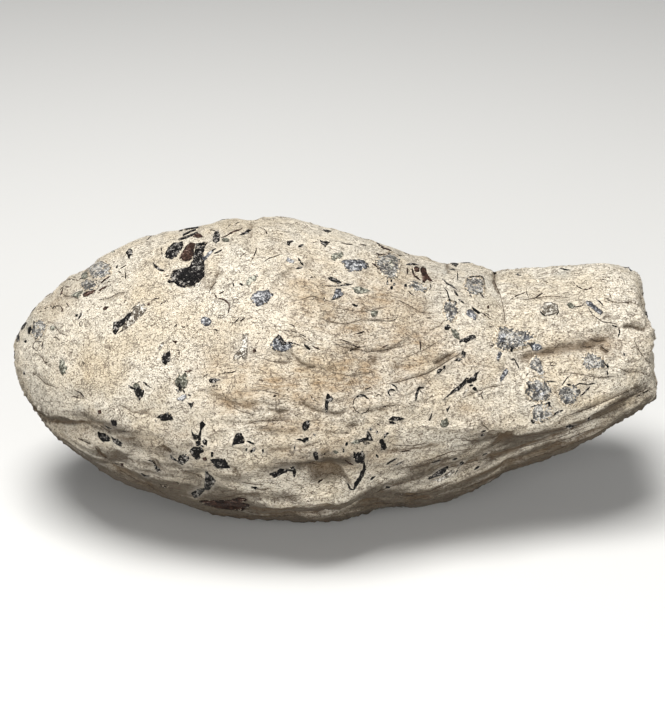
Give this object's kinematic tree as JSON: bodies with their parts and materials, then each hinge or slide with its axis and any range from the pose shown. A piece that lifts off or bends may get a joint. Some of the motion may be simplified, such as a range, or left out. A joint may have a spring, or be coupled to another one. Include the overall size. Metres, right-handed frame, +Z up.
{
  "type": "ichthyosaur coprolite",
  "caption": "Fossil dung stone: a thick rounded spindle that narrows to a snapped-off tail, studded with dark fish scales and bone splinters, lying on its belly",
  "frame": {"origin": "on the surface that the stone lies on, under the middle of its bounding box", "axes": "+X runs along the stone from the round end to the snapped tail, -Y faces the side with the best face, +Z is up"},
  "size_m": [0.1348, 0.07, 0.0605],
  "materials": {
    "fossil_stone": "matte"
  },
  "bodies": {
    "root": {"coprolite": "fossil_stone"}
  },
  "joints": []
}
